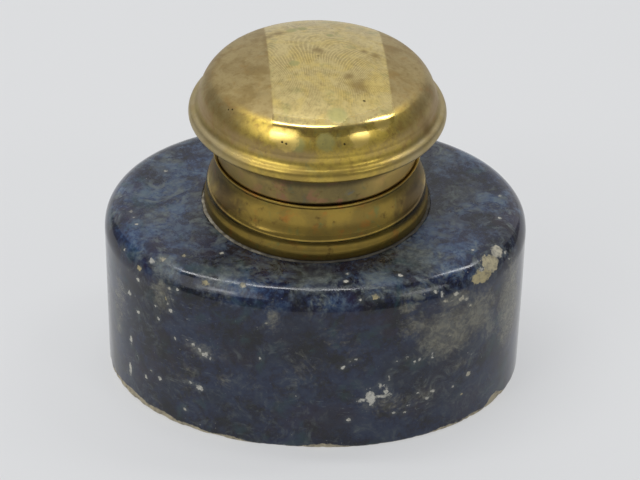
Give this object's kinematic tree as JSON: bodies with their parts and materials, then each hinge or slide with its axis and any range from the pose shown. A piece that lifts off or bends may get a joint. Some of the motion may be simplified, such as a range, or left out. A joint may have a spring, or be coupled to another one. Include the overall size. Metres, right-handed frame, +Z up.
{
  "type": "stone inkwell paperweight with hinged brass lid",
  "caption": "Oval dyed-stone desk block with a cemented brass collar, a lift-out porcelain ink pot and a domed brass lid hinged at the back; stands on papers as a weight.",
  "frame": {"origin": "middle of the stone block's underside", "axes": "+Z up through the block, +Y towards the hinge at the back, +X along the block's long side"},
  "size_m": [0.1, 0.0772, 0.0829],
  "materials": {
    "dyed_stone": "polished, mottled navy and teal with cream chips",
    "plaster": "matt plaster of Paris",
    "collar_brass": "tarnished, softly polished",
    "sleeve_brass": "dull, drawn tube",
    "dome_brass": "polished with tarnish and fine scratches",
    "skirt_brass": "dull grey-brown tarnish",
    "hinge_brass": "dull, filed",
    "pin_brass": "drawn wire with peened ends",
    "porcelain": "white glaze"
  },
  "bodies": {
    "base": {"stone_body": "dyed_stone", "plaster_bed": "plaster", "collar_sleeve": "sleeve_brass", "collar_mount": "collar_brass", "collar_hinge_leaf": "hinge_brass", "hinge_pin": "pin_brass"},
    "lid": {"lid_dome": "dome_brass", "lid_skirt": "skirt_brass", "lid_hinge_leaf": "hinge_brass"},
    "pot": {"ink_pot": "porcelain"}
  },
  "joints": [
    {"name": "lid_hinge", "type": "hinge", "parent": "base", "child": "lid", "pos_m": [0, 0.02805, 0.0575], "axis": [-1, 0, 0], "range_deg": [0, 105]},
    {"name": "pot_lift", "type": "slide", "parent": "base", "child": "pot", "axis": [0, 0, 1], "range_m": [0, 0.009]}
  ]
}
